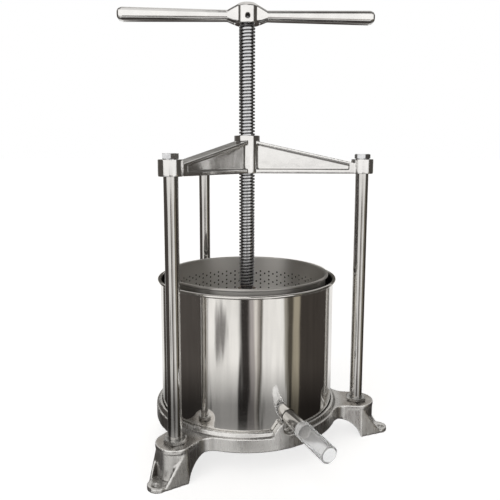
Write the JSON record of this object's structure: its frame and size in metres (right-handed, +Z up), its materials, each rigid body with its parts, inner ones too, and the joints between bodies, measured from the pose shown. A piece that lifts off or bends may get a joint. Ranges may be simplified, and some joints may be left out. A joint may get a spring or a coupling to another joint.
{
  "type": "fruit press",
  "caption": "Hand screw press for fruit: a screw with a cross handle drives a plate down into a perforated basket, and the juice leaves its container by a spout.",
  "frame": {"origin": "on the screw axis at the level of the feet's undersides, at the centre of the circle of foot holes", "axes": "+Z up along the screw, -Y towards the spout, so that the back column stands on +Y"},
  "size_m": [0.3262, 0.3812, 0.5455],
  "materials": {
    "cast_aluminium": "satin cast",
    "polished_aluminium": "polished",
    "mirror_stainless": "mirror polished",
    "satin_stainless": "satin",
    "zinc_steel": "zinc plated",
    "chromed_steel": "polished",
    "bright_steel": "bright",
    "clear_plastic": "clear"
  },
  "bodies": {
    "root": {"base": "cast_aluminium", "bridge": "cast_aluminium", "column_front_right": "chromed_steel", "lock_nut_front_right": "bright_steel", "bridge_bolt_front_right": "bright_steel", "column_back": "chromed_steel", "lock_nut_back": "bright_steel", "bridge_bolt_back": "bright_steel", "column_front_left": "chromed_steel", "lock_nut_front_left": "bright_steel", "bridge_bolt_front_left": "bright_steel"},
    "pressure_plate": {"pressure_plate": "cast_aluminium"},
    "screw": {"screw": "zinc_steel", "handle": "polished_aluminium", "handle_pin": "bright_steel", "retaining_screw": "bright_steel"},
    "container": {"container_wall": "mirror_stainless", "container_floor": "mirror_stainless", "spout": "satin_stainless", "hose": "clear_plastic"},
    "basket": {"basket_wall": "satin_stainless", "basket_floor": "satin_stainless"}
  },
  "joints": [
    {"name": "press_travel", "type": "slide", "parent": "root", "child": "pressure_plate", "axis": [0, 0, 1], "range_m": [-0.088, 0.14]},
    {"name": "screw_turn", "type": "hinge", "parent": "pressure_plate", "child": "screw", "pos_m": [0, 0, 0.3], "axis": [0, 0, 1], "range_deg": [-7930, 12610]},
    {"name": "container_lift", "type": "slide", "parent": "root", "child": "container", "axis": [0, 0, 1], "range_m": [0, 0.008]},
    {"name": "basket_lift", "type": "slide", "parent": "container", "child": "basket", "axis": [0, 0, 1], "range_m": [0, 0.008]}
  ],
  "couplings": [
    {"joint": "screw_turn", "follows": "press_travel", "rad_per_m": 1570.8}
  ]
}
